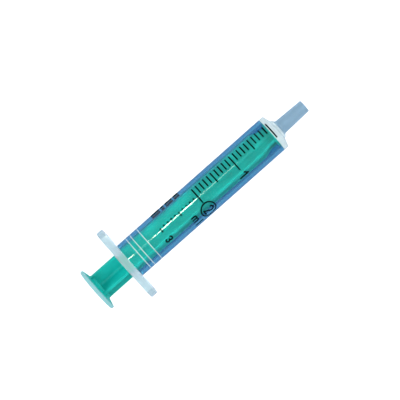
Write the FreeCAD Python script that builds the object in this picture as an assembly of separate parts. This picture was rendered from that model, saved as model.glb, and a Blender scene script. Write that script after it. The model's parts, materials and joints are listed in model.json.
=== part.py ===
"""A two-piece 2 ml syringe for oral dosing: clear barrel with a slip tip, green plunger, printed scale.

It lies on its side. The barrel axis runs along X with the tip towards +X, the finger wings reach out
along Y and the printed scale faces +Z. Z = 0 is the surface that it lies on, and the origin is the
middle of the syringe's length on that surface. Lengths along the barrel are measured from the zero
line of the scale, where the bore ends: positive towards the tip, negative towards the thumb.
"""
import FreeCAD, Part
import math
import os

from FreeCAD import Vector

# ---------------------------------------------------------------- driving dimensions, millimetres
BORE_RADIUS = 4.73            # inside of the barrel
BARREL_RADIUS = 5.75          # outside of the barrel
SHOULDER_X = 1.15             # where the outside of the barrel turns into its front face
FACE_END_X = 1.9              # where the sloping front face meets the collar
COLLAR_RADIUS = 3.35
COLLAR_END_X = 2.4
COLLAR_END_RADIUS = 3.05
TIP_BASE_X = 2.9              # where the collar's hollow curve meets the line of the slip cone
TIP_END_X = 12.4
TIP_END_RADIUS = 1.975        # small end of the slip cone
TIP_TAPER = 0.06              # the slip cone gains 6 % of its length in diameter
TIP_BORE_RADIUS = 1.05
SHOULDER_ROUND = 0.35
COLLAR_ROUND = 0.12
TIP_BASE_ROUND = 0.7
TIP_EDGE_ROUND = 0.15

FLANGE_FRONT_X = -55.65
FLANGE_REAR_X = -57.7
FLANGE_HALF_SPAN = 12.25      # to the end of each finger wing
FLANGE_HALF_WIDTH = 7.0       # to each flat side
WING_BULGE = 0.28             # how much thicker the wings are near their ends
WING_BULGE_START = 8.6        # the thickening begins this far from the axis
WING_BULGE_END = 10.6         # and is complete here
WING_BULGE_ROUND = 3.0
FLANGE_ROUND = 0.45
FLANGE_ROOT_ROUND = 0.35
BORE_MOUTH_CHAMFER = 0.25

STOP_RING_XS = (-47.9, -50.6, -52.1)   # moulded rings that keep the plunger in
STOP_RING_WIDTH = 0.3
STOP_RING_HEIGHT = 0.04       # into the bore
STOP_GROOVE_DEPTH = 0.03      # the sink mark on the outside behind each ring

RIB_RADIUS = 4.66             # reach of the plunger's four ribs
RIB_THICKNESS = 0.9
RIB_TURN = 31.0               # degrees that the ribs are turned about the axis
NECK_RADIUS = 3.45            # reach of the ribs behind the sealing lip
NECK_FRONT_X = -3.5           # the ribs slope from here
NECK_REAR_X = -5.4            # out to their full reach here
NECK_ROUND = 3.6
CORE_RADIUS = 1.0             # round core where the ribs cross
END_GAP = 0.06                # plunger pushed home, short of the end wall
LIP_RADIUS = 4.7              # sealing lip, a running fit in the bore
LIP_CHAMFER = 0.1
LIP_THICKNESS = 0.4
HEAD_THICKNESS = 0.75         # front disc that carries the lip
HEAD_REAR_RADIUS = 3.6

THUMB_RADIUS = 7.0
THUMB_REAR_X = -68.9          # middle of the domed thumb face
THUMB_DOME = 0.3              # the face falls back this much towards its rim
THUMB_RIM_THICKNESS = 0.95
THUMB_REAR_ROUND = 0.8
THUMB_FRONT_ROUND = 0.12
THUMB_FLARE = 1.35            # from the rim's front to where the thumb rest has narrowed to the ribs
THUMB_FLARE_ROUND = 0.6
THUMB_NECK_RADIUS = 4.2       # a little inside the reach of the ribs
THUMB_RING_RADII = (2.8, 4.2, 5.6)     # raised grip rings on the thumb face
THUMB_RING_TUBE = 0.28
THUMB_RING_HEIGHT = 0.045

# ---------------------------------------------------------------- the printing, millimetres and degrees
# Angles run round the barrel from +Z, positive towards -Y.
INK_THICKNESS = 0.03
LINE_WIDTH = 0.45
PEN_WIDTH = 0.5               # stroke of the numerals
LETTER_PEN_WIDTH = 0.46
TENTHS_PER_ML = 10
NOMINAL_ML = 2                # the numbered and ringed capacity
LAST_ML = 3                   # the scale runs on this far
TENTH_LINE_ANGLES = (-38.9, -11.5)
HALF_LINE_ANGLES = (-38.9, -1.3)
FULL_LINE_ANGLES = (-38.9, 15.4)
UPPER_LINE_ANGLES = (-12.0, 2.6)
DOT_RADIUS = 0.3
DOT_ANGLE = -10.9

ONE_HEIGHT = 3.4
ONE_FLAG = 0.9                # how far the short stroke of the 1 reaches out and down
ONE_ANGLE = 37.4
TWO_HEIGHT = 3.5
TWO_WIDTH = 2.0
TWO_ANGLE = 45.5
TWO_BOW = (165, -35)          # the arc at the top of the 2
THREE_HEIGHT = 2.6
THREE_ANGLE = 30.0
THREE_BOW = (160, -90)        # the upper arc of the 3; the lower one mirrors it
RING_RADIUS = 2.38            # ring round the numeral of the nominal capacity
RING_ANGLE = 43.6
M_HEIGHT = 1.95
M_ARCH = 0.45                 # radius of each arch of the m
L_HEIGHT = 2.85
L_OFFSET = 2.25               # from the middle of the m to the middle of the l
LETTERS_ANGLE = 38.3
LETTERS_BEHIND_TWO = 5.6      # from the middle of the 2 to the foot of the letters

SIDE_BAR_ANGLES = (-86.0, -68.0)
SIDE_BARS_START_X = -42.4
SIDE_BAR_GAP = 0.5
SIDE_BAR_LENGTHS = (3.1, 1.2, 2.6, 1.9)

# ---------------------------------------------------------------- values that follow from them
MM_PER_ML = 1000.0 / (math.pi * BORE_RADIUS ** 2)
MIDDLE_X = (TIP_END_X + THUMB_REAR_X) / 2
AXIS_Z = THUMB_RADIUS
ROD_FRONT_X = -END_GAP - HEAD_THICKNESS / 2
X_AXIS = Vector(1, 0, 0)


def place(shape):
    """Moves a shape from the barrel's own axis to its place above the surface."""
    moved = shape.copy()
    moved.translate(Vector(-MIDDLE_X, 0, AXIS_Z))
    return moved


def save(node, shape):
    placed = place(shape)
    assert placed.isValid(), node
    placed.exportStep("parts/" + node + ".step")
    print(node, len(placed.Solids), "solid(s),", round(placed.Volume, 3), "mm3")


def bend(before, here, after, rounding):
    """The (start, middle, end) points of the arc that rounds off a corner."""
    to_before = (before - here).normalize()
    to_after = (after - here).normalize()
    half_angle = to_before.getAngle(to_after) / 2
    reach = rounding / math.tan(half_angle)
    inward = (to_before + to_after).normalize()
    middle = here + inward * (rounding / math.sin(half_angle) - rounding)
    return here + to_before * reach, middle, here + to_after * reach


def outline(corners):
    """Edges of a closed outline through (x, radius, rounding) corners."""
    points = [Vector(x, 0, radius) for x, radius, rounding in corners]
    bends = []
    for i, here in enumerate(points):
        rounding = corners[i][2]
        following = points[(i + 1) % len(points)]
        bends.append(bend(points[i - 1], here, following, rounding) if rounding else (here, here, here))
    edges = []
    for here, following in zip(bends, bends[1:] + bends[:1]):
        if here[0] != here[2]:
            edges.append(Part.Arc(*here).toShape())
        edges.append(Part.LineSegment(here[2], following[0]).toShape())
    return edges


def turned(corners):
    """The solid made by turning a closed outline of (x, radius, rounding) corners about the axis."""
    face = Part.Face(Part.Wire(outline(corners)))
    return face.revolve(Vector(0, 0, 0), X_AXIS, 360)


# ---------------------------------------------------------------- barrel
def tip_radius(x):
    """Radius of the slip cone at x."""
    return TIP_END_RADIUS + TIP_TAPER / 2 * (TIP_END_X - x)


def barrel_body():
    """Finger flange, barrel, front wall and slip tip turned in one, with the bore and the channel."""
    wing_front_x = FLANGE_FRONT_X + WING_BULGE
    mouth_radius = BORE_RADIUS + BORE_MOUTH_CHAMFER
    return turned([
        (FLANGE_REAR_X, FLANGE_HALF_SPAN, FLANGE_ROUND),
        (wing_front_x, FLANGE_HALF_SPAN, FLANGE_ROUND),
        (wing_front_x, WING_BULGE_END, WING_BULGE_ROUND),
        (FLANGE_FRONT_X, WING_BULGE_START, WING_BULGE_ROUND),
        (FLANGE_FRONT_X, BARREL_RADIUS, FLANGE_ROOT_ROUND),
        (SHOULDER_X, BARREL_RADIUS, SHOULDER_ROUND),
        (FACE_END_X, COLLAR_RADIUS, COLLAR_ROUND),
        (COLLAR_END_X, COLLAR_END_RADIUS, COLLAR_ROUND),
        (TIP_BASE_X, tip_radius(TIP_BASE_X), TIP_BASE_ROUND),
        (TIP_END_X, TIP_END_RADIUS, TIP_EDGE_ROUND),
        (TIP_END_X, TIP_BORE_RADIUS, 0),
        (0, TIP_BORE_RADIUS, 0),
        (0, BORE_RADIUS, 0),
        (FLANGE_REAR_X + BORE_MOUTH_CHAMFER, BORE_RADIUS, 0),
        (FLANGE_REAR_X, mouth_radius, 0),
    ])


def outside_flats(side):
    """What is cut away from the flange disc to leave a flat on its upper (1) or lower (-1) side."""
    length = FLANGE_FRONT_X + WING_BULGE - FLANGE_REAR_X + 2
    depth = FLANGE_HALF_SPAN - FLANGE_HALF_WIDTH + 1
    low_z = FLANGE_HALF_WIDTH if side > 0 else -FLANGE_HALF_WIDTH - depth
    corner = Vector(FLANGE_REAR_X - 1, -FLANGE_HALF_SPAN, low_z)
    return Part.makeBox(length, 2 * FLANGE_HALF_SPAN, depth, corner)


def ring_bead(x, wall_radius, height):
    """A rounded bead round a wall, standing in from it by height and reaching back behind it."""
    half = STOP_RING_WIDTH / 2
    base = wall_radius + half
    start, end = Vector(x - half, 0, wall_radius), Vector(x + half, 0, wall_radius)
    top = Vector(x, 0, wall_radius - height)
    base_start, base_end = Vector(x - half, 0, base), Vector(x + half, 0, base)
    edges = [
        Part.LineSegment(base_start, start).toShape(),
        Part.Arc(start, top, end).toShape(),
        Part.LineSegment(end, base_end).toShape(),
        Part.LineSegment(base_end, base_start).toShape(),
    ]
    return Part.Face(Part.Wire(edges)).revolve(Vector(0, 0, 0), X_AXIS, 360)


def barrel():
    body = barrel_body()
    for side in (1, -1):
        body = body.cut(outside_flats(side))
    for x in STOP_RING_XS:
        body = body.fuse(ring_bead(x, BORE_RADIUS, STOP_RING_HEIGHT))
        body = body.cut(ring_bead(x, BARREL_RADIUS, STOP_GROOVE_DEPTH))
    return body.removeSplitter()


# ---------------------------------------------------------------- plunger
def ribs():
    """Four ribs crossing at a round core, as long as the plunger's rod."""
    rear_x = THUMB_REAR_X + THUMB_DOME
    length = ROD_FRONT_X - rear_x
    wide = 2 * RIB_RADIUS + 1
    upright = Part.makeBox(length, RIB_THICKNESS, wide, Vector(rear_x, -RIB_THICKNESS / 2, -wide / 2))
    across = Part.makeBox(length, wide, RIB_THICKNESS, Vector(rear_x, -wide / 2, -RIB_THICKNESS / 2))
    core = Part.makeCylinder(CORE_RADIUS, length, Vector(rear_x, 0, 0), X_AXIS)
    cross = upright.fuse([across, core]).removeSplitter()
    cross.rotate(Vector(0, 0, 0), X_AXIS, RIB_TURN)
    return cross


def rib_envelope():
    """The turned outline that the ribs are trimmed to: narrow behind the head, then full width."""
    rear_x = THUMB_REAR_X + THUMB_DOME
    return turned([
        (ROD_FRONT_X, 0, 0),
        (ROD_FRONT_X, NECK_RADIUS, 0),
        (NECK_FRONT_X, NECK_RADIUS, NECK_ROUND),
        (NECK_REAR_X, RIB_RADIUS, NECK_ROUND),
        (rear_x, RIB_RADIUS, 0),
        (rear_x, 0, 0),
    ])


def head():
    """The sealing head: a front disc whose rim is a thin lip that runs in the bore."""
    front_x = -END_GAP
    return turned([
        (front_x, 0, 0),
        (front_x, LIP_RADIUS - LIP_CHAMFER, 0),
        (front_x - LIP_CHAMFER, LIP_RADIUS, 0),
        (front_x - LIP_THICKNESS, LIP_RADIUS, 0),
        (front_x - HEAD_THICKNESS, HEAD_REAR_RADIUS, 0),
        (front_x - HEAD_THICKNESS, 0, 0),
    ])


def thumb_face_x(radius):
    """The domed thumb face at a distance from the axis."""
    return THUMB_REAR_X + THUMB_DOME * (radius / THUMB_RADIUS) ** 2


def thumb_rest():
    """The thumb rest: a disc with a domed face and a round rim, flaring out of the ribs."""
    rim_rear_x = THUMB_REAR_X + THUMB_DOME
    rim_front_x = rim_rear_x + THUMB_RIM_THICKNESS
    half_radius = THUMB_RADIUS / 2
    return turned([
        (THUMB_REAR_X, 0, 0),
        (thumb_face_x(half_radius), half_radius, 0),
        (rim_rear_x, THUMB_RADIUS, THUMB_REAR_ROUND),
        (rim_front_x, THUMB_RADIUS, THUMB_FRONT_ROUND),
        (rim_front_x + THUMB_FLARE / 2, THUMB_NECK_RADIUS, THUMB_FLARE_ROUND),
        (rim_front_x + THUMB_FLARE, THUMB_NECK_RADIUS, 0),
        (rim_front_x + THUMB_FLARE, 0, 0),
    ])


def thumb_ring(radius):
    """A raised grip ring, as a torus mostly sunk in the thumb face."""
    centre = Vector(thumb_face_x(radius) + THUMB_RING_TUBE - THUMB_RING_HEIGHT, 0, 0)
    return Part.makeTorus(radius, THUMB_RING_TUBE, centre, X_AXIS)


def plunger():
    rod = ribs().common(rib_envelope())
    body = rod.fuse([head(), thumb_rest()] + [thumb_ring(radius) for radius in THUMB_RING_RADII])
    return body.removeSplitter()


# ---------------------------------------------------------------- printed scale
def scale_x(millilitres):
    """Where a volume is marked along the barrel."""
    return -millilitres * MM_PER_ML


def ink_skin(start_x, length):
    """The thin layer just outside the barrel that the ink lies in."""
    start = Vector(start_x, 0, 0)
    outer = Part.makeCylinder(BARREL_RADIUS + INK_THICKNESS, length, start, X_AXIS)
    return outer.cut(Part.makeCylinder(BARREL_RADIUS, length, start, X_AXIS))


def ink_band(middle_x, width, angles):
    """A printed line that runs round the barrel between two angles."""
    sweep = angles[1] - angles[0]
    start = Vector(middle_x - width / 2, 0, 0)
    outer = Part.makeCylinder(BARREL_RADIUS + INK_THICKNESS, width, start, X_AXIS, sweep)
    band = outer.cut(Part.makeCylinder(BARREL_RADIUS, width, start, X_AXIS, sweep))
    band.rotate(Vector(0, 0, 0), X_AXIS, angles[0])
    return band


def printed(faces, middle_x, angle):
    """Ink film in the shape of flat faces. They are drawn with x to the right and y up, and printed
    with their up towards the tip and their origin at middle_x and angle."""
    blocks = [face.extrude(Vector(0, 0, 2 * BARREL_RADIUS)) for face in faces]
    ink = blocks[0].fuse(blocks[1:]).removeSplitter() if len(blocks) > 1 else blocks[0]
    ink.rotate(Vector(0, 0, 0), Vector(0, 0, 1), -90)
    film = ink_skin(-BARREL_RADIUS, 2 * BARREL_RADIUS).common(ink)
    film.rotate(Vector(0, 0, 0), X_AXIS, angle)
    film.translate(Vector(middle_x, 0, 0))
    return film


def stroke(pen_width, *edges):
    """A pen stroke with round ends along a flat path."""
    return Part.Face(Part.Wire(list(edges)).makeOffset2D(pen_width / 2))


def straight(start, end):
    return Part.LineSegment(Vector(start[0], start[1], 0), Vector(end[0], end[1], 0)).toShape()


def bow_point(centre, radius, angle):
    a = math.radians(angle)
    return centre[0] + radius * math.cos(a), centre[1] + radius * math.sin(a)


def bow(centre, radius, start_angle, end_angle):
    """An arc of a circle from one angle to another, either way round, in degrees."""
    angles = (start_angle, (start_angle + end_angle) / 2, end_angle)
    points = [Vector(*bow_point(centre, radius, angle), 0) for angle in angles]
    return Part.Arc(*points).toShape()


def tenth_lines():
    """The short lines, one for each tenth of a millilitre that has no longer line."""
    tenths = [n for n in range(1, NOMINAL_ML * TENTHS_PER_ML) if n % (TENTHS_PER_ML // 2)]
    return [ink_band(scale_x(n / TENTHS_PER_ML), LINE_WIDTH, TENTH_LINE_ANGLES) for n in tenths]


def half_lines():
    halves = [ml + 0.5 for ml in range(NOMINAL_ML)]
    return [ink_band(scale_x(ml), LINE_WIDTH, HALF_LINE_ANGLES) for ml in halves]


def full_lines():
    return [ink_band(scale_x(ml), LINE_WIDTH, FULL_LINE_ANGLES) for ml in range(NOMINAL_ML + 1)]


def upper_lines():
    """The short lines of the scale's extension past the nominal capacity."""
    return [ink_band(scale_x(ml), LINE_WIDTH, UPPER_LINE_ANGLES) for ml in (LAST_ML - 0.5, LAST_ML)]


def upper_dots():
    """One dot for each tenth of the extension that has no line."""
    dots = []
    for n in range(NOMINAL_ML * TENTHS_PER_ML + 1, LAST_ML * TENTHS_PER_ML):
        if n % (TENTHS_PER_ML // 2):
            dot = Part.Face(Part.Wire(Part.makeCircle(DOT_RADIUS)))
            dots.append(printed([dot], scale_x(n / TENTHS_PER_ML), DOT_ANGLE))
    return dots


def numeral_one():
    top = ONE_HEIGHT - PEN_WIDTH
    stem = straight((0, 0), (0, top))
    flag = straight((0, top), (-ONE_FLAG, top - ONE_FLAG))
    return printed([stroke(PEN_WIDTH, flag, stem)], scale_x(1) - top / 2, ONE_ANGLE)


def numeral_two():
    half_pen = PEN_WIDTH / 2
    bend_radius = TWO_WIDTH / 2 - half_pen
    centre = (0, TWO_HEIGHT / 2 - half_pen - bend_radius)
    foot_left = (half_pen - TWO_WIDTH / 2, half_pen - TWO_HEIGHT / 2)
    foot_right = (TWO_WIDTH / 2 - half_pen, half_pen - TWO_HEIGHT / 2)
    top = bow(centre, bend_radius, *TWO_BOW)
    slope = straight(bow_point(centre, bend_radius, TWO_BOW[1]), foot_left)
    base = straight(foot_left, foot_right)
    return printed([stroke(PEN_WIDTH, top, slope, base)], scale_x(2), TWO_ANGLE)


def numeral_three():
    bend_radius = (THREE_HEIGHT - PEN_WIDTH) / 4
    upper = bow((0, bend_radius), bend_radius, THREE_BOW[0], THREE_BOW[1])
    lower = bow((0, -bend_radius), bend_radius, -THREE_BOW[1], -THREE_BOW[0])
    return printed([stroke(PEN_WIDTH, upper, lower)], scale_x(3), THREE_ANGLE)


def capacity_ring():
    """The ring round the numeral of the nominal capacity."""
    outer = Part.Face(Part.Wire(Part.makeCircle(RING_RADIUS + LINE_WIDTH / 2)))
    inner = Part.Face(Part.Wire(Part.makeCircle(RING_RADIUS - LINE_WIDTH / 2)))
    return printed([outer.cut(inner).Faces[0]], scale_x(2), RING_ANGLE)


def unit_letters():
    """The letters ml, just behind the ring."""
    pen = LETTER_PEN_WIDTH
    spring = M_HEIGHT - pen - M_ARCH
    left_foot, middle_foot, right_foot = ((n * M_ARCH, 0) for n in (-2, 0, 2))
    left_top, middle_top, right_top = ((n * M_ARCH, spring) for n in (-2, 0, 2))
    left_arch = bow((-M_ARCH, spring), M_ARCH, 180, 0)
    right_arch = bow((M_ARCH, spring), M_ARCH, 180, 0)
    m_left = stroke(pen, straight(left_foot, left_top), left_arch, straight(middle_top, middle_foot))
    m_right = stroke(pen, right_arch, straight(right_top, right_foot))
    l_stem = Part.makePlane(pen, L_HEIGHT, Vector(L_OFFSET - pen / 2, -pen / 2, 0))
    return printed([m_left, m_right, l_stem], scale_x(NOMINAL_ML) - LETTERS_BEHIND_TWO, LETTERS_ANGLE)


def side_bars():
    """Plain bars along the side of the barrel, where printed small type would be."""
    bars = []
    x = SIDE_BARS_START_X
    for length in SIDE_BAR_LENGTHS:
        bars.append(ink_band(x + length / 2, length, SIDE_BAR_ANGLES))
        x += length + SIDE_BAR_GAP
    return bars


PRINTED_GROUPS = {
    "scale_tenth_lines": tenth_lines,
    "scale_half_lines": half_lines,
    "scale_full_lines": full_lines,
    "scale_upper_lines": upper_lines,
    "scale_upper_dots": upper_dots,
    "side_print_bars": side_bars,
}
PRINTED_SIGNS = {
    "numeral_one": numeral_one,
    "numeral_two": numeral_two,
    "numeral_three": numeral_three,
    "capacity_ring": capacity_ring,
    "unit_letters": unit_letters,
}


def main():
    os.makedirs("parts", exist_ok=True)
    save("barrel", barrel())
    save("plunger", plunger())
    for node, make_films in PRINTED_GROUPS.items():
        save(node, Part.makeCompound(make_films()))
    for node, make_film in PRINTED_SIGNS.items():
        save(node, make_film())


main()
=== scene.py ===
"""Looks of the two-piece oral syringe: clear barrel, green plunger, printed scale, plain studio."""
import json
import math

import bmesh
import bpy
from mathutils import Matrix, Vector


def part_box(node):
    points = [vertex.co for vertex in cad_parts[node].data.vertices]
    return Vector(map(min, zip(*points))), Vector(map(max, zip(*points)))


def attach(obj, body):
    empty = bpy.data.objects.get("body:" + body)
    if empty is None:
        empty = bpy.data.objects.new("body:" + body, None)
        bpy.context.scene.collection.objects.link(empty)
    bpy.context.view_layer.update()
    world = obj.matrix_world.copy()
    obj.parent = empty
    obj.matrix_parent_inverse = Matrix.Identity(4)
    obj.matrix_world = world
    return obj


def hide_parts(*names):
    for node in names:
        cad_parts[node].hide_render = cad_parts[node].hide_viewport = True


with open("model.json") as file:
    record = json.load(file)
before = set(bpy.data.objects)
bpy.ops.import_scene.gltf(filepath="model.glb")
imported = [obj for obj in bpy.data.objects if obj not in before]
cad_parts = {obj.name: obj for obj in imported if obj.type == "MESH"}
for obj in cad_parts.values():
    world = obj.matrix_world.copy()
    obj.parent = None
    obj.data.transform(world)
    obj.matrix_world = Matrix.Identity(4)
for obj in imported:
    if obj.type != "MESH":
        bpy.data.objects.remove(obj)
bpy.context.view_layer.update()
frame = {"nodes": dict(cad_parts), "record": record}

MM = 0.001

# ---------------------------------------------------------------- sizes read from the frame, metres
MOUNTS = {mount["name"]: mount for mount in frame["record"]["mounts"]}
BARREL_LOW, BARREL_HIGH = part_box("barrel")
PLUNGER_LOW, PLUNGER_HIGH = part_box("plunger")
LINES_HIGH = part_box("scale_full_lines")[1]

AXIS_Z = MOUNTS["slip_cone"]["pos_m"][2]
TIP_END_X = BARREL_HIGH.x
FLANGE_REAR_X = BARREL_LOW.x
THUMB_REAR_X = PLUNGER_LOW.x
HEAD_FRONT_X = PLUNGER_HIGH.x
FLANGE_HALF_SPAN = BARREL_HIGH.y
FLANGE_HALF_WIDTH = (BARREL_HIGH.z - BARREL_LOW.z) / 2
THUMB_RADIUS = PLUNGER_HIGH.y
BARREL_RADIUS = MOUNTS["barrel_grip"]["dims"]["r_mm"] * MM
TIP_BORE_RADIUS = MOUNTS["tip_channel"]["dims"]["r_mm"] * MM
LINE_WIDTH = 0.45 * MM
ZERO_X = LINES_HIGH.x - LINE_WIDTH / 2          # the zero line, where the bore ends

# ---------------------------------------------------------------- sizes of the moulded shapes, metres
BORE_RADIUS = 4.73 * MM
SHOULDER = 1.15 * MM                            # lengths in front of the zero line
FACE_END = 1.9 * MM
COLLAR_END = 2.4 * MM
TIP_BASE = 2.9 * MM
COLLAR_RADIUS = 3.35 * MM
COLLAR_END_RADIUS = 3.05 * MM
COLLAR_ROUND = 0.12 * MM
TIP_END_RADIUS = 1.975 * MM
TIP_TAPER = 0.06
SHOULDER_ROUND = 0.35 * MM
WALL_GLOW = 0.45 * MM                           # the milky front wall shows this far behind the zero line
TIP_BASE_ROUND = 0.7 * MM
TIP_ROUND = 0.15 * MM
CHANNEL_MOUTH_ROUND = 0.08 * MM
CHANNEL_REAR_ROUND = 0.1 * MM
BORE_CORNER_ROUND = 0.15 * MM

FLANGE_THICKNESS = 2.05 * MM
WING_BULGE = 0.28 * MM
WING_BULGE_START = 8.6 * MM
WING_BULGE_END = 10.6 * MM
FLANGE_ROUND = 0.45 * MM
FLANGE_ROOT_ROUND = 0.35 * MM
FLAT_BEVEL = 0.2 * MM
MOUTH_CHAMFER = 0.25 * MM

STOP_RINGS = (-47.9 * MM, -50.6 * MM, -52.1 * MM)
RING_WIDTH = 0.22 * MM
RING_HEIGHT = 0.04 * MM
GROOVE_DEPTH = 0.03 * MM

RIB_RADIUS = 4.66 * MM
RIB_THICKNESS = 0.9 * MM
RIB_TURN = math.radians(31.0)
RIB_ROOT_ROUND = 0.9 * MM
SECOND_SECTION = 4 * MM                         # from the rod's rear end to its second section
RIB_EDGE_ROUND = 0.12 * MM
NECK_RADIUS = 3.45 * MM
NECK_FRONT = -2.5 * MM                          # where the S-shaped slope of the ribs starts and ends
NECK_REAR = -6.4 * MM
LIP_RADIUS = 4.7 * MM
LIP_THICKNESS = 0.4 * MM
LIP_FRONT_ROUND = 0.1 * MM
LIP_REAR_ROUND = 0.08 * MM
HEAD_THICKNESS = 0.75 * MM
HEAD_REAR_RADIUS = 3.6 * MM
HEAD_REAR_ROUND = 0.15 * MM
THUMB_DOME = 0.3 * MM
THUMB_RIM = 0.95 * MM
THUMB_REAR_ROUND = 0.8 * MM
THUMB_FRONT_ROUND = 0.12 * MM
THUMB_FLARE = 1.35 * MM
THUMB_FLARE_ROUND = 0.6 * MM
THUMB_NECK_RADIUS = 4.2 * MM
THUMB_RINGS = (2.8 * MM, 4.2 * MM, 5.6 * MM)
THUMB_RING_HEIGHT = 0.045 * MM
THUMB_RING_WIDTH = 0.32 * MM
THUMB_FACE_MARGIN = 0.2 * MM                    # from the end of the domed face to the rounded rim

# ---------------------------------------------------------------- fineness of the meshes
TURNS = 192                                     # points round a turned shape
CORNER_STEPS = 6                                # points round a rounded corner
WING_STEPS = 8
RING_STEPS = 8
NECK_STEPS = 14
RIB_CORNER_STEPS = 3
RIB_ROOT_STEPS = 6
THUMB_FACE_STEPS = 70
ON_AXIS = 1e-7                                  # a radius below this, in metres, is a point on the axis
HALF_OF_EDGE = 0.49                             # a rounding takes at most this share of an edge


# ---------------------------------------------------------------- outlines
def rounded(corners):
    """An outline through (x, radius, round) corners, each rounded off by its own radius."""
    points = []
    count = len(corners)
    for i, (x, r, rounding) in enumerate(corners):
        here = Vector((x, r))
        if rounding <= 0:
            points.append(here)
            continue
        before = Vector(corners[i - 1][:2]) - here
        after = Vector(corners[(i + 1) % count][:2]) - here
        turn = before.angle(after)
        reach = min(rounding / math.tan(turn / 2), HALF_OF_EDGE * before.length, HALF_OF_EDGE * after.length)
        start = here + before.normalized() * reach
        end = here + after.normalized() * reach
        for step in range(CORNER_STEPS + 1):
            t = step / CORNER_STEPS
            points.append((1 - t) ** 2 * start + 2 * t * (1 - t) * here + t ** 2 * end)
    return points


def smooth_step(t):
    return t * t * (3 - 2 * t)


def s_curve(start, end, steps):
    """Points from start to end: the first value goes evenly, and the second along an S-curve."""
    return [
        (start[0] + (end[0] - start[0]) * k / steps, start[1] + (end[1] - start[1]) * smooth_step(k / steps))
        for k in range(steps + 1)
    ]


def ring_bumps(base_radius, height):
    """Points of the stop rings along a wall at base_radius, standing off it by height. They go
    from the front towards the rear."""
    points = []
    for middle in STOP_RINGS:
        for k in range(RING_STEPS + 1):
            angle = math.pi * k / RING_STEPS
            x = ZERO_X + middle + RING_WIDTH / 2 * math.cos(angle)
            points.append((x, base_radius + height * math.sin(angle), 0))
    return points


# ---------------------------------------------------------------- meshes
def piece_from_mesh(name, mesh_builder):
    mesh = bpy.data.meshes.new(name)
    mesh_builder.normal_update()
    mesh_builder.to_mesh(mesh)
    mesh_builder.free()
    piece = bpy.data.objects.new(name, mesh)
    bpy.context.scene.collection.objects.link(piece)
    return piece


def turned(name, outline, closed=True):
    """A solid turned about the barrel axis from a closed (x, radius) outline. Points on the axis
    become one vertex each."""
    shape = bmesh.new()
    loops = []
    for point in outline:
        x, r = point[0], point[1]
        if r < ON_AXIS:
            loops.append([shape.verts.new((x, 0, AXIS_Z))])
            continue
        loops.append([
            shape.verts.new((x, -r * math.sin(a), AXIS_Z + r * math.cos(a)))
            for a in (2 * math.pi * k / TURNS for k in range(TURNS))
        ])
    pairs = list(zip(loops, loops[1:]))
    if closed:
        pairs.append((loops[-1], loops[0]))
    for one, two in pairs:
        if len(one) == 1 and len(two) == 1:
            continue
        for k in range(TURNS):
            n = (k + 1) % TURNS
            if len(one) == 1:
                shape.faces.new((one[0], two[k], two[n]))
            elif len(two) == 1:
                shape.faces.new((one[k], two[0], one[n]))
            else:
                shape.faces.new((one[k], two[k], two[n], one[n]))
    bmesh.ops.recalc_face_normals(shape, faces=shape.faces)
    return piece_from_mesh(name, shape)


def smooth(piece, sharp_degrees):
    for polygon in piece.data.polygons:
        polygon.use_smooth = True
    piece.data.set_sharp_from_angle(angle=math.radians(sharp_degrees))


def apply_modifiers(piece):
    bpy.context.view_layer.update()
    evaluated = piece.evaluated_get(bpy.context.evaluated_depsgraph_get())
    finished = bpy.data.meshes.new_from_object(evaluated)
    piece.modifiers.clear()
    old = piece.data
    piece.data = finished
    bpy.data.meshes.remove(old)


def join_solids(piece, others):
    """Unites solids into one closed mesh."""
    for other in others:
        union = piece.modifiers.new("union", "BOOLEAN")
        union.operation = "UNION"
        union.solver = "EXACT"
        union.object = other
        apply_modifiers(piece)
        bpy.data.objects.remove(other)
    return piece


# ---------------------------------------------------------------- barrel
TUBE, FLANGE, FRONT_WALL, TIP = range(4)        # the finishes of the barrel, in the order of its materials
NEARLY = 0.01 * MM                              # a face may be this far off a surface and count as part of it
BEVEL_STEPS = 3


def tip_radius(x):
    return TIP_END_RADIUS + TIP_TAPER / 2 * (TIP_END_X - x)


def barrel_outline():
    """Outside from the flange's rear face round to the tip, then back along the channel and bore."""
    front = FLANGE_REAR_X + FLANGE_THICKNESS
    thick = front + WING_BULGE
    tip_base = ZERO_X + TIP_BASE
    outline = [(FLANGE_REAR_X, FLANGE_HALF_SPAN, FLANGE_ROUND), (thick, FLANGE_HALF_SPAN, FLANGE_ROUND)]
    wing = s_curve((WING_BULGE_END, thick), (WING_BULGE_START, front), WING_STEPS)
    outline += [(x, r, 0) for r, x in wing]
    outline.append((front, BARREL_RADIUS, FLANGE_ROOT_ROUND))
    outline += ring_bumps(BARREL_RADIUS, -GROOVE_DEPTH)[::-1]
    outline += [
        (ZERO_X - WALL_GLOW, BARREL_RADIUS, 0),
        (ZERO_X + SHOULDER, BARREL_RADIUS, SHOULDER_ROUND),
        (ZERO_X + FACE_END, COLLAR_RADIUS, COLLAR_ROUND),
        (ZERO_X + COLLAR_END, COLLAR_END_RADIUS, COLLAR_ROUND),
        (tip_base, tip_radius(tip_base), TIP_BASE_ROUND),
        (TIP_END_X, TIP_END_RADIUS, TIP_ROUND),
        (TIP_END_X, TIP_BORE_RADIUS, CHANNEL_MOUTH_ROUND),
        (ZERO_X, TIP_BORE_RADIUS, CHANNEL_REAR_ROUND),
        (ZERO_X, BORE_RADIUS, BORE_CORNER_ROUND),
        (ZERO_X - WALL_GLOW, BORE_RADIUS, 0),
    ]
    outline += ring_bumps(BORE_RADIUS, -RING_HEIGHT)
    outline += [
        (FLANGE_REAR_X + MOUTH_CHAMFER, BORE_RADIUS, 0),
        (FLANGE_REAR_X, BORE_RADIUS + MOUTH_CHAMFER, 0),
    ]
    return rounded(outline)


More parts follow.
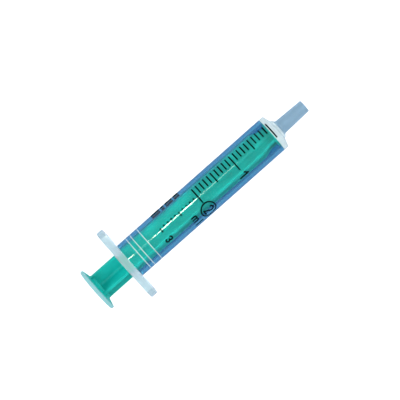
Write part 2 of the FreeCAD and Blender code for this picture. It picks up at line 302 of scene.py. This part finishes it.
def cut_flats(piece):
    """Cuts the two flat sides of the finger flange and softens their edges."""
    shape = bmesh.new()
    shape.from_mesh(piece.data)
    for side in (-1, 1):
        cut = bmesh.ops.bisect_plane(
            shape, geom=shape.verts[:] + shape.edges[:] + shape.faces[:],
            plane_co=(0, 0, AXIS_Z + side * FLANGE_HALF_WIDTH), plane_no=(0, 0, side), clear_outer=True)
        edges = [item for item in cut["geom_cut"] if isinstance(item, bmesh.types.BMEdge)]
        filled = bmesh.ops.contextual_create(shape, geom=edges)["faces"]
        bmesh.ops.recalc_face_normals(shape, faces=shape.faces)
        rim = [edge for face in filled for edge in face.edges]
        bmesh.ops.bevel(
            shape, geom=rim, offset=FLAT_BEVEL, segments=BEVEL_STEPS,
            profile=0.5, affect="EDGES", clamp_overlap=True)
    bmesh.ops.recalc_face_normals(shape, faces=shape.faces)
    shape.to_mesh(piece.data)
    shape.free()


def barrel_zone(middle):
    """Which finish the face with this middle point has."""
    x = middle.x - ZERO_X
    radius = math.hypot(middle.y, middle.z - AXIS_Z)
    flange_front = FLANGE_REAR_X + FLANGE_THICKNESS + WING_BULGE + FLANGE_ROOT_ROUND
    on_rear_face = middle.x < FLANGE_REAR_X + NEARLY
    if on_rear_face or (middle.x < flange_front and radius > BARREL_RADIUS + NEARLY):
        return FLANGE
    if x > COLLAR_END:
        return TIP
    if x > -WALL_GLOW or any(abs(x - ring) < RING_WIDTH / 2 for ring in STOP_RINGS):
        return FRONT_WALL
    return TUBE


def make_barrel():
    barrel = turned("clear_barrel", barrel_outline())
    cut_flats(barrel)
    smooth(barrel, sharp_degrees=40)
    for material in (clear_tube(), milky_flange(), milky_front(), milky_tip()):
        barrel.data.materials.append(material)
    for polygon in barrel.data.polygons:
        polygon.material_index = barrel_zone(polygon.center)
    return barrel


# ---------------------------------------------------------------- plunger
def corner_curve(start, corner, end):
    """Points of a rounded corner between two points of an outline."""
    start, corner, end = Vector(start), Vector(corner), Vector(end)
    return [
        tuple((1 - t) ** 2 * start + 2 * t * (1 - t) * corner + t ** 2 * end)
        for t in (k / RIB_CORNER_STEPS for k in range(RIB_CORNER_STEPS + 1))
    ]


def rib_points(reach):
    """One rib and the hollow beside it, as (along, across) points, with the rib cut off at reach."""
    half = RIB_THICKNESS / 2
    root = half + RIB_ROOT_ROUND
    edge = math.sqrt(reach ** 2 - half ** 2)
    inset = half - RIB_EDGE_ROUND
    top = math.sqrt(reach ** 2 - inset ** 2)
    low_corner = corner_curve((edge - RIB_EDGE_ROUND, -half), (edge, -half), (top, -inset))
    high_corner = [(along, -across) for along, across in reversed(low_corner)]
    hollow = [
        (root + RIB_ROOT_ROUND * math.cos(angle), root + RIB_ROOT_ROUND * math.sin(angle))
        for angle in (-math.pi / 2 * (1 + k / RIB_ROOT_STEPS) for k in range(RIB_ROOT_STEPS))
    ]
    return [(root, -half)] + low_corner + [(reach, 0)] + high_corner + hollow


def rib_section(reach):
    """The cross-shaped section as (y, z) points round the axis, going from +Z towards -Y."""
    points = []
    for quarter in range(4):
        turn = RIB_TURN + quarter * math.pi / 2
        for along, across in rib_points(reach):
            y = -along * math.sin(turn) - across * math.cos(turn)
            z = along * math.cos(turn) - across * math.sin(turn)
            points.append((y, z))
    return points


def rib_stations():
    """(x, reach) of the sections from inside the thumb rest to inside the head."""
    rear = THUMB_REAR_X + THUMB_DOME
    stations = [(rear, RIB_RADIUS), (rear + SECOND_SECTION, RIB_RADIUS)]
    stations += s_curve((ZERO_X + NECK_REAR, RIB_RADIUS), (ZERO_X + NECK_FRONT, NECK_RADIUS), NECK_STEPS)
    stations.append((HEAD_FRONT_X - HEAD_THICKNESS / 2, NECK_RADIUS))
    return stations


def make_rod():
    """The rod of four crossed ribs."""
    shape = bmesh.new()
    loops = [
        [shape.verts.new((x, y, AXIS_Z + z)) for y, z in rib_section(reach)]
        for x, reach in rib_stations()
    ]
    count = len(loops[0])
    for one, two in zip(loops, loops[1:]):
        for k in range(count):
            n = (k + 1) % count
            shape.faces.new((one[k], one[n], two[n], two[k]))
    shape.faces.new(loops[0])
    shape.faces.new(loops[-1])
    bmesh.ops.recalc_face_normals(shape, faces=shape.faces)
    return piece_from_mesh("green_plunger", shape)


def make_head():
    """The sealing head with its thin lip."""
    return turned("head", rounded([
        (HEAD_FRONT_X, 0, 0),
        (HEAD_FRONT_X, LIP_RADIUS, LIP_FRONT_ROUND),
        (HEAD_FRONT_X - LIP_THICKNESS, LIP_RADIUS, LIP_REAR_ROUND),
        (HEAD_FRONT_X - HEAD_THICKNESS, HEAD_REAR_RADIUS, HEAD_REAR_ROUND),
        (HEAD_FRONT_X - HEAD_THICKNESS, 0, 0),
    ]), closed=False)


def thumb_face_x(radius):
    """Where the domed thumb face with its raised rings lies at this radius."""
    x = THUMB_REAR_X + THUMB_DOME * (radius / THUMB_RADIUS) ** 2
    for ring in THUMB_RINGS:
        offset = (radius - ring) / (THUMB_RING_WIDTH / 2)
        if abs(offset) < 1:
            x -= THUMB_RING_HEIGHT * (1 - offset ** 2)
    return x


def make_thumb_rest():
    """The thumb rest, flaring out of the ribs."""
    face_edge = THUMB_RADIUS - THUMB_REAR_ROUND - THUMB_FACE_MARGIN
    radii = [face_edge * k / THUMB_FACE_STEPS for k in range(THUMB_FACE_STEPS + 1)]
    outline = [(thumb_face_x(radius), radius, 0) for radius in radii]
    rim_x = THUMB_REAR_X + THUMB_DOME
    rim_front = rim_x + THUMB_RIM
    outline += [
        (rim_x, THUMB_RADIUS, THUMB_REAR_ROUND),
        (rim_front, THUMB_RADIUS, THUMB_FRONT_ROUND),
        (rim_front + THUMB_FLARE / 2, THUMB_NECK_RADIUS, THUMB_FLARE_ROUND),
        (rim_front + THUMB_FLARE, THUMB_NECK_RADIUS, 0),
        (rim_front + THUMB_FLARE, 0, 0),
    ]
    return turned("thumb_rest", rounded(outline), closed=False)


def make_plunger():
    plunger = join_solids(make_rod(), [make_head(), make_thumb_rest()])
    smooth(plunger, sharp_degrees=35)
    plunger.data.materials.append(green_plastic())
    return plunger


# ---------------------------------------------------------------- materials
GREEN_DARK = (0.0, 0.33, 0.29)
GREEN_LIGHT = (0.0, 0.43, 0.38)
# painted sheen: pale light on the thin thumb disc
THUMB_DISC_PAINTED_SHEEN = (0.22, 0.46, 0.49)
# painted light on the clear tube, by height: blue surroundings seen through and mirrored in it, deepest in
# its lower half like shade
TUBE_UNDERSIDE_PAINTED_LIGHT = (0.15, 0.47, 0.68)
TUBE_LOW_PAINTED_LIGHT = (0.008, 0.22, 0.43)
TUBE_SIDE_PAINTED_LIGHT = (0.01, 0.25, 0.47)
TUBE_FLANK_PAINTED_LIGHT = (0.05, 0.38, 0.61)
TUBE_CLEAR = (0.6, 1.0, 0.98)
FLANGE_MILKY = (0.62, 0.74, 0.76)
# painted highlight along the flange's front and rear edges
FLANGE_EDGE_PAINTED_HIGHLIGHT = (0.84, 0.90, 0.91)
FRONT_WALL_MILKY = (0.74, 0.84, 0.85)
TIP_MILKY = (0.30, 0.46, 0.59)
INK_DARK = (0.001, 0.006, 0.006)
INK_LIGHT = (0.003, 0.014, 0.013)
STREAK_SHADE = 0.92                             # how much darker the streaks in milky plastic are
PLASTIC_IOR = 1.49
NOISE_DETAIL = 2.0
MILKY_STREAKS = 700                             # features per metre
GREEN_CLOUDS = 220
INK_GRAIN = 4000
TUBE_LAMP_TINT = (0.95, 1.0, 1.0)               # what lamps' light becomes on its way through the plastic
MILKY_LAMP_TINT = (0.9, 0.95, 1.0)
DISC_SHEEN_FADE = 0.25 * MM                           # how fast the painted sheen of the thumb disc ends in front of its rim
GREEN_SCATTER = 1.5 * MM


def new_material(name):
    material = bpy.data.materials.new(name)
    material.use_nodes = True
    nodes = material.node_tree.nodes
    nodes.clear()
    output = nodes.new("ShaderNodeOutputMaterial")
    shader = nodes.new("ShaderNodeBsdfPrincipled")
    material.node_tree.links.new(shader.outputs["BSDF"], output.inputs["Surface"])
    return material, shader


def noise(material, scale, stretch=(1, 1, 1)):
    """Object-space noise with a size in features per metre."""
    nodes = material.node_tree.nodes
    links = material.node_tree.links
    place = nodes.new("ShaderNodeTexCoord")
    mapping = nodes.new("ShaderNodeMapping")
    mapping.inputs["Scale"].default_value = stretch
    texture = nodes.new("ShaderNodeTexNoise")
    texture.inputs["Scale"].default_value = scale
    texture.inputs["Detail"].default_value = NOISE_DETAIL
    links.new(place.outputs["Object"], mapping.inputs["Vector"])
    links.new(mapping.outputs["Vector"], texture.inputs["Vector"])
    return texture.outputs["Fac"]


def ramp(material, source, stops):
    """Colours for a factor, from (position, colour) stops."""
    node = material.node_tree.nodes.new("ShaderNodeValToRGB")
    elements = node.color_ramp.elements
    while len(elements) < len(stops):
        elements.new(0.5)
    for element, (position, colour) in zip(elements, stops):
        element.position = position
        element.color = (*colour, 1)
    material.node_tree.links.new(source, node.inputs["Fac"])
    return node.outputs["Color"]


def blend(material, factor, first, second):
    """Goes from the first colour to the second as the factor goes from 0 to 1."""
    node = material.node_tree.nodes.new("ShaderNodeMix")
    node.data_type = "RGBA"
    material.node_tree.links.new(factor, node.inputs["Factor"])
    material.node_tree.links.new(first, node.inputs["A"])
    node.inputs["B"].default_value = (*second, 1)
    return node.outputs["Result"]


def remap(material, source, old_range, new_range):
    """Takes values from one range to another and holds them inside the second."""
    node = material.node_tree.nodes.new("ShaderNodeMapRange")
    for name, value in zip(("From Min", "From Max", "To Min", "To Max"), old_range + new_range):
        node.inputs[name].default_value = value
    material.node_tree.links.new(source, node.inputs["Value"])
    return node.outputs["Result"]


def let_lamps_through(material, shader, tint):
    """Lamps shine through this plastic, so that what is inside and behind it is lit."""
    nodes = material.node_tree.nodes
    links = material.node_tree.links
    output = next(node for node in nodes if node.type == "OUTPUT_MATERIAL")
    light_path = nodes.new("ShaderNodeLightPath")
    clear = nodes.new("ShaderNodeBsdfTransparent")
    clear.inputs["Color"].default_value = (*tint, 1)
    mix = nodes.new("ShaderNodeMixShader")
    links.new(light_path.outputs["Is Shadow Ray"], mix.inputs["Fac"])
    links.new(shader.outputs["BSDF"], mix.inputs[1])
    links.new(clear.outputs["BSDF"], mix.inputs[2])
    links.new(mix.outputs["Shader"], output.inputs["Surface"])


def object_place(material):
    """Object-space x, y and z sockets."""
    nodes = material.node_tree.nodes
    place = nodes.new("ShaderNodeTexCoord")
    split = nodes.new("ShaderNodeSeparateXYZ")
    material.node_tree.links.new(place.outputs["Object"], split.inputs["Vector"])
    return split.outputs


def along_axis(material):
    return object_place(material)["X"]


def height_in_barrel(material):
    """0 at the underside of the barrel, 1 at its top."""
    height = object_place(material)["Z"]
    return remap(material, height, (AXIS_Z - BARREL_RADIUS, AXIS_Z + BARREL_RADIUS), (0, 1))


def clear_tube():
    """Clear plastic with a trace of haze. Its blue is painted on by height, to match the photograph: painted
    light, the blue surroundings seen through and mirrored in the tube, deepest in its lower half like shade
    and clear on top.
    """
    material, shader = new_material("clear_polypropylene")
    # painted light: blue by height, deepest in the lower half of the tube, clear on top
    colour = ramp(material, height_in_barrel(material), [
        (0.0, TUBE_UNDERSIDE_PAINTED_LIGHT), (0.1, TUBE_LOW_PAINTED_LIGHT), (0.5, TUBE_SIDE_PAINTED_LIGHT),
        (0.74, TUBE_FLANK_PAINTED_LIGHT), (0.82, TUBE_CLEAR),
    ])
    material.node_tree.links.new(colour, shader.inputs["Base Color"])
    shader.inputs["Transmission Weight"].default_value = 0.99
    shader.inputs["IOR"].default_value = PLASTIC_IOR
    shader.inputs["Roughness"].default_value = 0.04
    let_lamps_through(material, shader, TUBE_LAMP_TINT)
    return material


def milky(name, colour, transmission, roughness, stretch=(1, 1, 1)):
    """Plastic that scatters light: partly see-through and partly white or grey, with faint streaks."""
    material, shader = new_material(name)
    streaks = noise(material, MILKY_STREAKS, stretch)
    darker = tuple(STREAK_SHADE * channel for channel in colour)
    colours = ramp(material, streaks, [(0.35, darker), (0.65, colour)])
    material.node_tree.links.new(colours, shader.inputs["Base Color"])
    shader.inputs["Transmission Weight"].default_value = transmission
    shader.inputs["IOR"].default_value = PLASTIC_IOR
    shader.inputs["Roughness"].default_value = roughness
    let_lamps_through(material, shader, MILKY_LAMP_TINT)
    return material, shader


def milky_flange():
    """The flange is painted palest along its front and rear edges, as in the photograph: a painted highlight
    where those edges catch the light.
    """
    material, shader = milky(
        "milky_flange", FLANGE_MILKY, transmission=0.65, roughness=0.18, stretch=(3, 0.25, 1))
    streaks = shader.inputs["Base Color"].links[0].from_socket
    flange_range = (FLANGE_REAR_X, FLANGE_REAR_X + FLANGE_THICKNESS + WING_BULGE)
    through = remap(material, along_axis(material), flange_range, (0, 1))
    white, black = (1, 1, 1), (0, 0, 0)
    # painted highlight: paler along the flange's front and rear edges
    edges = ramp(material, through, [(0.0, white), (0.12, black), (0.85, black), (0.95, white)])
    colour = blend(material, edges, streaks, FLANGE_EDGE_PAINTED_HIGHLIGHT)
    material.node_tree.links.new(colour, shader.inputs["Base Color"])
    return material


def milky_front():
    return milky("milky_front_wall", FRONT_WALL_MILKY, transmission=0.45, roughness=0.2)[0]


def milky_tip():
    return milky("milky_tip", TIP_MILKY, transmission=0.45, roughness=0.3, stretch=(0.4, 1, 1))[0]


def green_plastic():
    """Slightly translucent green plastic, with a painted pale sheen on the thin thumb disc."""
    material, shader = new_material("green_polyethylene")
    clouds = noise(material, GREEN_CLOUDS, stretch=(0.6, 1, 1))
    body = ramp(material, clouds, [(0.35, GREEN_DARK), (0.7, GREEN_LIGHT)])
    # painted sheen on the thumb disc, fading out in front of its rim
    disc_end = THUMB_REAR_X + THUMB_DOME + THUMB_RIM
    painted_sheen = remap(material, along_axis(material), (disc_end, disc_end + DISC_SHEEN_FADE), (1, 0))
    colour = blend(material, painted_sheen, body, THUMB_DISC_PAINTED_SHEEN)
    material.node_tree.links.new(colour, shader.inputs["Base Color"])
    roughness = remap(material, clouds, (0.3, 0.7), (0.4, 0.55))
    material.node_tree.links.new(roughness, shader.inputs["Roughness"])
    shader.inputs["Specular IOR Level"].default_value = 0.25
    shader.inputs["Subsurface Weight"].default_value = 0.3
    shader.inputs["Subsurface Radius"].default_value = (0.2, 1.0, 0.8)
    shader.inputs["Subsurface Scale"].default_value = GREEN_SCATTER
    return material


def scale_ink():
    material, shader = new_material("printing_ink")
    grain = noise(material, INK_GRAIN)
    colour = ramp(material, grain, [(0.3, INK_DARK), (0.75, INK_LIGHT)])
    material.node_tree.links.new(colour, shader.inputs["Base Color"])
    roughness = remap(material, grain, (0.3, 0.7), (0.5, 0.65))
    material.node_tree.links.new(roughness, shader.inputs["Roughness"])
    shader.inputs["Specular IOR Level"].default_value = 0.0
    return material


# ---------------------------------------------------------------- studio
TABLE_REACH = 1.5                               # metres, from the table's middle to its edge
TABLE_GLOW = 0.92
TABLE_GREY = (0.4, 0.4, 0.4)
TABLE_MIRRORED = (0.02, 0.15, 0.35)
SKY_WHITE = (0.9, 0.9, 0.9)
SKY_LOW_MIRRORED = (0.12, 0.42, 0.62)
SKY_HIGH_MIRRORED = (0.12, 0.30, 0.32)
SKY_MIRROR_RISE = 0.8                           # how high in the mirrored sky the second colour is reached
TABLE_ROUGHNESS = 0.9

# name, place along X, length and watts of the lamps that draw the bright line along the barrel
HIGHLIGHT_LAMPS = (
    ("middle_strip", -0.0054, 0.031, 0.12),
    ("rear_strip", -0.0313, 0.0195, 0.003),
    ("front_strip", 0.0234, 0.0266, 0.012),
)
HIGHLIGHT_Y = 0.1
HIGHLIGHT_Z = 0.5
HIGHLIGHT_DEPTH = 0.045
HIGHLIGHT_COLOUR = (1.0, 0.95, 0.72)
END_LAMP_X = 0.4                                # one lamp beyond each end of the syringe
END_LAMP_Z = 0.47
END_LAMP_SIZE = 0.2
END_LAMP_WATTS = 1.2

PICTURE_TURN = math.radians(41.55)              # the axis climbs this much across the picture
AIM_BEHIND_ZERO = 28.5 * MM                     # the camera looks at this point of the axis
AIM_Y = -0.33 * MM                              # and this far to its side
LENS = 200.0
SENSOR_WIDTH = 36.0
CAMERA_DISTANCE = 0.645
CAMERA_CLIP_END = 10

TILT = math.atan2(FLANGE_HALF_WIDTH - BARREL_RADIUS, SHOULDER - FLANGE_THICKNESS - (FLANGE_REAR_X - ZERO_X))


def make_floor():
    """A wide white light table. It is tilted so that the syringe rests on the flat of its finger
    flange and on the front end of its barrel, as it does when it is laid down. Its mirror image in
    shiny surfaces is set dim and blue to match the photograph, which a real table's wouldn't be."""
    pivot = Vector((FLANGE_REAR_X + FLANGE_THICKNESS, 0, 0))
    mesh = bpy.data.meshes.new("table")
    corners = [(x * TABLE_REACH, y * TABLE_REACH) for x, y in ((-1, -1), (1, -1), (1, 1), (-1, 1))]
    turn = Matrix.Rotation(-TILT, 3, "Y")
    mesh.from_pydata([pivot + turn @ Vector((x, y, 0)) for x, y in corners], [], [(0, 1, 2, 3)])
    table = bpy.data.objects.new("table", mesh)
    bpy.context.scene.collection.objects.link(table)
    material, shader = new_material("light_table")
    shader.inputs["Base Color"].default_value = (*TABLE_GREY, 1)
    shader.inputs["Roughness"].default_value = TABLE_ROUGHNESS
    shader.inputs["Emission Strength"].default_value = TABLE_GLOW
    nodes = material.node_tree.nodes
    light_path = nodes.new("ShaderNodeLightPath")
    glow = nodes.new("ShaderNodeMix")
    glow.data_type = "RGBA"
    glow.inputs["A"].default_value = (1, 1, 1, 1)
    glow.inputs["B"].default_value = (*TABLE_MIRRORED, 1)
    material.node_tree.links.new(light_path.outputs["Is Glossy Ray"], glow.inputs["Factor"])
    material.node_tree.links.new(glow.outputs["Result"], shader.inputs["Emission Color"])
    mesh.materials.append(material)


def strip_lamp(name, place, aim, length, depth, watts, colour=(1, 1, 1)):
    """A rectangular lamp whose length lies along X."""
    lamp = bpy.data.lights.new(name, "AREA")
    lamp.shape = "RECTANGLE"
    lamp.size = length
    lamp.size_y = depth
    lamp.energy = watts
    lamp.color = colour
    holder = bpy.data.objects.new(name, lamp)
    back = (Vector(place) - Vector(aim)).normalized()
    side = (Vector((1, 0, 0)) - back.x * back).normalized()
    turn = Matrix((side, back.cross(side), back)).transposed().to_4x4()
    holder.matrix_world = Matrix.Translation(place) @ turn
    bpy.context.scene.collection.objects.link(holder)


def make_lamps():
    for name, x, length, watts in HIGHLIGHT_LAMPS:
        place = (x, HIGHLIGHT_Y, HIGHLIGHT_Z)
        strip_lamp(name, place, (x, 0, 0), length, HIGHLIGHT_DEPTH, watts, HIGHLIGHT_COLOUR)
    for side in (-1, 1):
        place = (END_LAMP_X * side, 0, END_LAMP_Z)
        strip_lamp("end_lamp", place, (0, 0, 0), END_LAMP_SIZE, END_LAMP_SIZE, END_LAMP_WATTS)


def make_world():
    """Soft white light from all round. Its mirror image in shiny surfaces is set dim and cool, to
    match the photograph."""
    world = bpy.data.worlds.new("studio")
    world.use_nodes = True
    nodes = world.node_tree.nodes
    links = world.node_tree.links
    place = nodes.new("ShaderNodeTexCoord")
    split = nodes.new("ShaderNodeSeparateXYZ")
    mirrored = nodes.new("ShaderNodeValToRGB")
    elements = mirrored.color_ramp.elements
    elements[0].position, elements[0].color = 0.0, (*SKY_LOW_MIRRORED, 1)
    elements[1].position, elements[1].color = SKY_MIRROR_RISE, (*SKY_HIGH_MIRRORED, 1)
    light_path = nodes.new("ShaderNodeLightPath")
    sky = nodes.new("ShaderNodeMix")
    sky.data_type = "RGBA"
    sky.inputs["A"].default_value = (*SKY_WHITE, 1)
    links.new(place.outputs["Generated"], split.inputs["Vector"])
    links.new(split.outputs["Z"], mirrored.inputs["Fac"])
    links.new(light_path.outputs["Is Glossy Ray"], sky.inputs["Factor"])
    links.new(mirrored.outputs["Color"], sky.inputs["B"])
    links.new(sky.outputs["Result"], nodes["Background"].inputs["Color"])
    bpy.context.scene.world = world


def make_camera():
    """Looks straight down at the table, with the tip towards the upper right of the picture."""
    camera = bpy.data.cameras.new("camera")
    camera.lens = LENS
    camera.sensor_width = SENSOR_WIDTH
    camera.clip_end = CAMERA_CLIP_END
    holder = bpy.data.objects.new("camera", camera)
    turn = Matrix.Rotation(-TILT, 4, "Y") @ Matrix.Rotation(-PICTURE_TURN, 4, "Z")
    middle = Vector((ZERO_X - AIM_BEHIND_ZERO, AIM_Y, AXIS_Z))
    holder.matrix_world = Matrix.Translation(middle) @ turn @ Matrix.Translation((0, 0, CAMERA_DISTANCE))
    bpy.context.scene.collection.objects.link(holder)
    bpy.context.scene.camera = holder


def main():
    barrel = make_barrel()
    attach(barrel, "barrel")
    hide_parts("barrel")

    plunger = make_plunger()
    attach(plunger, "plunger")
    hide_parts("plunger")

    ink = scale_ink()
    for name, node in frame["nodes"].items():
        if name not in ("barrel", "plunger"):
            for material_slot in node.material_slots:
                material_slot.material = ink

    make_floor()
    make_world()
    make_lamps()
    make_camera()
    bpy.context.scene.view_settings.view_transform = "Standard"


main()
